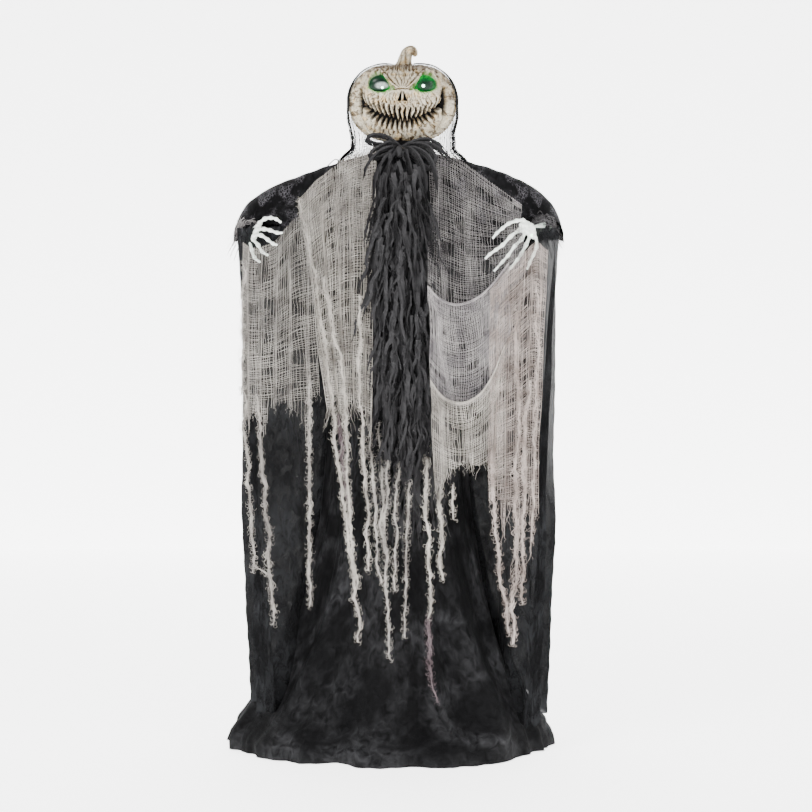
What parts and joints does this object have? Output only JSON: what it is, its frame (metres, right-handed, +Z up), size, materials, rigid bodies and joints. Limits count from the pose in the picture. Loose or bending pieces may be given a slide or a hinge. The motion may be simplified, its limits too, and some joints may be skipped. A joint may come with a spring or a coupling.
{
  "type": "seasonal reaper figure",
  "caption": "Free-standing robed reaper figure with a carved pale pumpkin head that turns, lit eyes, skeletal hands on posable arms, ribbons and torn gauze.",
  "frame": {"origin": "on the floor, at the axis of the pole, under the base hub", "axes": "+Z up the pole, the figure faces -Y, +X to its left hand's side (the viewer's right)"},
  "size_m": [1.0255, 0.6956, 2.1172],
  "materials": {
    "black_steel": "satin black paint",
    "zinc_steel": "zinc plate",
    "black_nylon": "moulded",
    "black_abs": "moulded, fine grain",
    "white_nylon": "moulded",
    "dark_rubber": "matt",
    "red_abs": "gloss",
    "battery_sleeve": "printed film",
    "circuit_board": "green solder mask",
    "dark_liner": "matt",
    "pumpkin_paint": "painted foam with brown wash",
    "stem_paint": "painted foam with brown wash",
    "green_lens": "clear tinted, lit",
    "bone_plastic": "painted bone",
    "black_cloth": "plain weave polyester",
    "sheer_cloth": "sheer polyester",
    "black_net": "net",
    "grey_gauze": "open cotton gauze",
    "black_ribbon": "crinkled fabric strips"
  },
  "bodies": {
    "root": {"base_hub": "black_nylon", "shoulder_tee": "black_nylon", "lower_collar": "black_nylon", "upper_collar": "black_nylon", "leg_back_right": "black_steel", "leg_back_left": "black_steel", "leg_front_left": "black_steel", "leg_front_right": "black_steel", "lower_pole": "black_steel", "middle_pole": "black_steel", "upper_pole": "black_steel", "shoulder_bar": "black_steel", "shoulder_knuckle_left": "black_nylon", "shoulder_knuckle_right": "black_nylon", "pivot_bolt_left": "zinc_steel", "pivot_bolt_right": "zinc_steel", "control_case": "black_abs", "control_cover": "black_abs", "battery_pack": "battery_sleeve", "circuit_board": "circuit_board", "speaker": "dark_liner", "gear_case_lower": "black_abs", "gear_case_upper": "black_abs", "neck_motor": "zinc_steel", "motor_cable": "dark_rubber", "robe_body": "black_cloth", "sleeve_left": "black_cloth", "sleeve_right": "black_cloth", "wing_left": "sheer_cloth", "wing_right": "sheer_cloth", "hood_veil": "black_net", "ribbon_tie": "black_ribbon", "ribbon_bundle": "black_ribbon", "gauze_left_panel": "grey_gauze", "gauze_left_chest": "grey_gauze", "gauze_right_chest": "grey_gauze", "gauze_right_column": "grey_gauze"},
    "head": {"neck_shaft": "black_steel", "head_gear": "white_nylon", "neck_flange": "black_abs", "head_front": "pumpkin_paint", "head_back": "pumpkin_paint", "stem": "stem_paint", "eye_left": "green_lens", "eye_right": "green_lens", "eye_led_board": "circuit_board", "mouth_liner": "dark_liner"},
    "pinion": {"motor_pinion": "white_nylon"},
    "arm_left": {"arm_lug_left": "black_nylon", "arm_rod_left": "black_steel", "hand_left": "bone_plastic", "palm_led_left": "green_lens"},
    "arm_right": {"arm_lug_right": "black_nylon", "arm_rod_right": "black_steel", "hand_right": "bone_plastic", "palm_led_right": "green_lens"},
    "door": {"battery_door": "black_abs"},
    "switch": {"slide_switch": "dark_rubber"},
    "button": {"test_button": "red_abs"}
  },
  "joints": [
    {"name": "head_turn", "type": "hinge", "parent": "root", "child": "head", "pos_m": [0, 0, 1.8], "axis": [0, 0, 1], "range_deg": [-30, 30], "deforming": ["hood_veil"]},
    {"name": "pinion_spin", "type": "hinge", "parent": "root", "child": "pinion", "pos_m": [0, 0.03, 1.795], "axis": [0, 0, 1], "range_deg": [-95, 95]},
    {"name": "arm_lift_left", "type": "hinge", "parent": "root", "child": "arm_left", "pos_m": [-0.172, 0, 1.735], "axis": [0, 1, 0], "range_deg": [-8, 14], "deforming": ["sleeve_left", "wing_left", "gauze_left_panel"]},
    {"name": "arm_lift_right", "type": "hinge", "parent": "root", "child": "arm_right", "pos_m": [0.172, 0, 1.735], "axis": [0, -1, 0], "range_deg": [-8, 14], "deforming": ["sleeve_right", "wing_right", "gauze_right_column", "gauze_right_chest"]},
    {"name": "battery_door_hinge", "type": "hinge", "parent": "root", "child": "door", "pos_m": [0, 0.0595, 0.9717], "axis": [-1, 0, 0], "range_deg": [0, 100]},
    {"name": "switch_slide", "type": "slide", "parent": "root", "child": "switch", "axis": [1, 0, 0], "range_m": [0, 0.006]},
    {"name": "button_press", "type": "slide", "parent": "root", "child": "button", "axis": [0, -1, 0], "range_m": [0, 0.0025], "stiffness_N_per_m": 400, "springref_m": -0.0005}
  ],
  "couplings": [
    {"joint": "pinion_spin", "follows": "head_turn", "ratio": -3}
  ]
}
